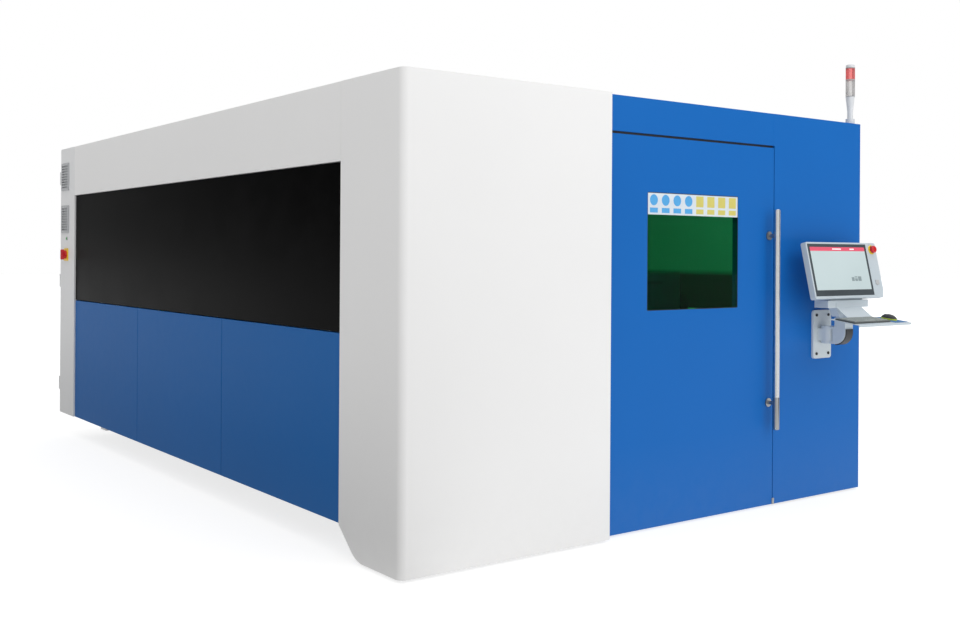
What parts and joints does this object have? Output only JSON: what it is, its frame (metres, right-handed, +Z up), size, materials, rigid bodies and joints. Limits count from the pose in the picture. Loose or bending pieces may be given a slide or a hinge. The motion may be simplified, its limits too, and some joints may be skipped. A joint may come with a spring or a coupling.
{
  "type": "fiber laser cutting machine",
  "caption": "Enclosed gantry fiber laser cutter with a sliding front door, side window, lifting pallet gate, rear cabinets and an operator console on a swinging arm.",
  "frame": {"origin": "on the floor in the middle of the four anchor holes, which is the middle of the enclosure", "axes": "+X to the right along the front, +Y from the front door to the rear gate, +Z up"},
  "size_m": [3.3443, 5.5296, 2.56],
  "materials": {
    "white_paint": "satin",
    "blue_paint": "satin",
    "frame_grey": "satin",
    "machine_grey": "satin",
    "black_glazing": "polished",
    "black_bars": "matt anodised",
    "green_glass": "polished",
    "stainless": "brushed",
    "steel": "ground",
    "rust_steel": "mill scale",
    "black_plastic": "matt",
    "grey_plastic": "matt",
    "console_grey": "satin",
    "bracket_grey": "powder coated",
    "screen_glass": "polished",
    "red_plastic": "gloss",
    "yellow_plastic": "gloss",
    "clear_lens": "clear",
    "red_lens": "translucent",
    "green_lens": "translucent",
    "anodised": "anodised"
  },
  "bodies": {
    "machine": {"levelling_feet": "steel", "enclosure_frame": "frame_grey", "front_corner_cover": "white_paint", "front_right_cover": "blue_paint", "front_header": "blue_paint", "door_rail": "steel", "door_guide": "grey_plastic", "left_fascia": "white_paint", "left_window": "black_glazing", "left_window_frame": "black_bars", "left_lower_panels": "blue_paint", "right_side_panels": "white_paint", "roof_panels": "white_paint", "rear_upper_panel": "white_paint", "rear_lower_panel": "white_paint", "dust_spigot": "steel", "gate_guides": "steel", "control_cabinet": "white_paint", "laser_cabinet": "white_paint", "drive_rack": "grey_plastic", "laser_source": "black_plastic", "cabinet_vents": "grey_plastic", "main_switch_plate": "yellow_plastic", "cabinet_lamp": "green_lens", "bed_beams": "machine_grey", "guide_rails": "steel", "gear_racks": "steel", "scrap_chutes": "rust_steel", "pallet_frame": "machine_grey", "support_slats": "rust_steel", "console_bracket": "bracket_grey", "tower_light_base": "grey_plastic", "tower_light_clear_lens": "clear_lens", "tower_light_red_lens": "red_lens", "tower_light_cap": "grey_plastic"},
    "door": {"front_door": "blue_paint", "door_window": "green_glass", "door_handle": "stainless", "handle_posts": "stainless", "door_hangers": "steel"},
    "gate": {"rear_gate": "machine_grey"},
    "control_door": {"control_cabinet_door": "white_paint"},
    "laser_door": {"laser_cabinet_door": "white_paint"},
    "main_switch": {"main_switch_knob": "red_plastic"},
    "gantry": {"gantry_beam": "anodised", "gantry_carriages": "machine_grey", "gantry_motors": "black_plastic", "cross_rails": "steel"},
    "carriage": {"head_carriage": "anodised"},
    "head": {"lift_slide": "anodised", "cutting_head": "anodised"},
    "arm": {"console_arm": "bracket_grey", "elbow_cover": "black_plastic"},
    "console": {"console_stand": "console_grey", "console_housing": "console_grey", "console_screen": "screen_glass", "keyboard_tray": "console_grey", "keyboard": "grey_plastic", "mouse": "black_plastic"},
    "stop": {"estop_button": "red_plastic"}
  },
  "joints": [
    {"name": "door_slide", "type": "slide", "parent": "machine", "child": "door", "axis": [-1, 0, 0], "range_m": [0, 1.12]},
    {"name": "gate_lift", "type": "slide", "parent": "machine", "child": "gate", "axis": [0, 0, 1], "range_m": [0, 0.5]},
    {"name": "control_door_hinge", "type": "hinge", "parent": "machine", "child": "control_door", "pos_m": [-1.642, 2.508, 1.175], "axis": [0, 0, 1], "range_deg": [0, 110]},
    {"name": "laser_door_hinge", "type": "hinge", "parent": "machine", "child": "laser_door", "pos_m": [1.642, 2.508, 1.175], "axis": [0, 0, -1], "range_deg": [0, 110]},
    {"name": "main_switch_turn", "type": "hinge", "parent": "machine", "child": "main_switch", "pos_m": [-1.65, 2.325, 1.38], "axis": [-1, 0, 0], "range_deg": [0, 90]},
    {"name": "gantry_travel", "type": "slide", "parent": "machine", "child": "gantry", "axis": [0, 1, 0], "range_m": [0, 3.1]},
    {"name": "head_travel", "type": "slide", "parent": "gantry", "child": "carriage", "axis": [1, 0, 0], "range_m": [-0.75, 0.75]},
    {"name": "head_lift", "type": "slide", "parent": "carriage", "child": "head", "axis": [0, 0, 1], "range_m": [-0.11, 0]},
    {"name": "console_swing", "type": "hinge", "parent": "machine", "child": "arm", "pos_m": [1.27, -2.512, 0.95], "axis": [0, 0, 1], "range_deg": [-9, 9]},
    {"name": "console_swivel", "type": "hinge", "parent": "arm", "child": "console", "pos_m": [1.27, -2.609, 1.035], "axis": [0, 0, 1], "range_deg": [-8, 8]},
    {"name": "stop_press", "type": "slide", "parent": "console", "child": "stop", "axis": [0, 0.9744, -0.225], "range_m": [0, 0.006], "stiffness_N_per_m": 1500}
  ]
}
